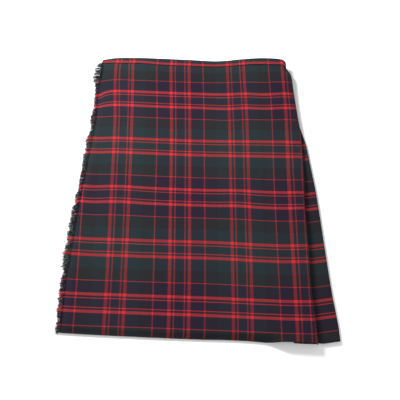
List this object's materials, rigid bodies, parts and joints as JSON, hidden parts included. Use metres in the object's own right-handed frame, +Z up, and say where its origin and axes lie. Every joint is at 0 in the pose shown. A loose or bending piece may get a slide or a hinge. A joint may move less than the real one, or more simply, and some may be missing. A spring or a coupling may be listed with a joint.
{
  "type": "kilt",
  "caption": "Wool tartan kilt laid flat: plain fringed wrap apron in front, creased side pleat, knife-pleated back and a narrow waistband.",
  "frame": {"origin": "centre of the outline's box at the height of the surface that the kilt lies on", "axes": "+Y from the hem to the waist, +X to the wearer's left, +Z up off the surface, with the front of the kilt facing up"},
  "size_m": [0.4964, 0.617, 0.0195],
  "materials": {
    "tartan_apron": "matt worsted wool twill, dark green, navy and black tartan with red lines",
    "tartan_side": "matt worsted wool twill, dark stretch of the tartan crossed by red lines",
    "tartan_back": "matt worsted wool twill in the same tartan, pressed into pleats",
    "tartan_band": "matt worsted wool twill, dark green with one red line along it",
    "fringe_yarn": "loose dark wool yarns with red ones where the tartan's lines run out"
  },
  "bodies": {
    "root": {"over_apron": "tartan_apron", "under_apron": "tartan_back", "side_pleat": "tartan_side", "pleats": "tartan_back", "waistband_front": "tartan_band", "waistband_back": "tartan_band", "waistband_under": "tartan_band", "fringe": "fringe_yarn"}
  },
  "joints": []
}
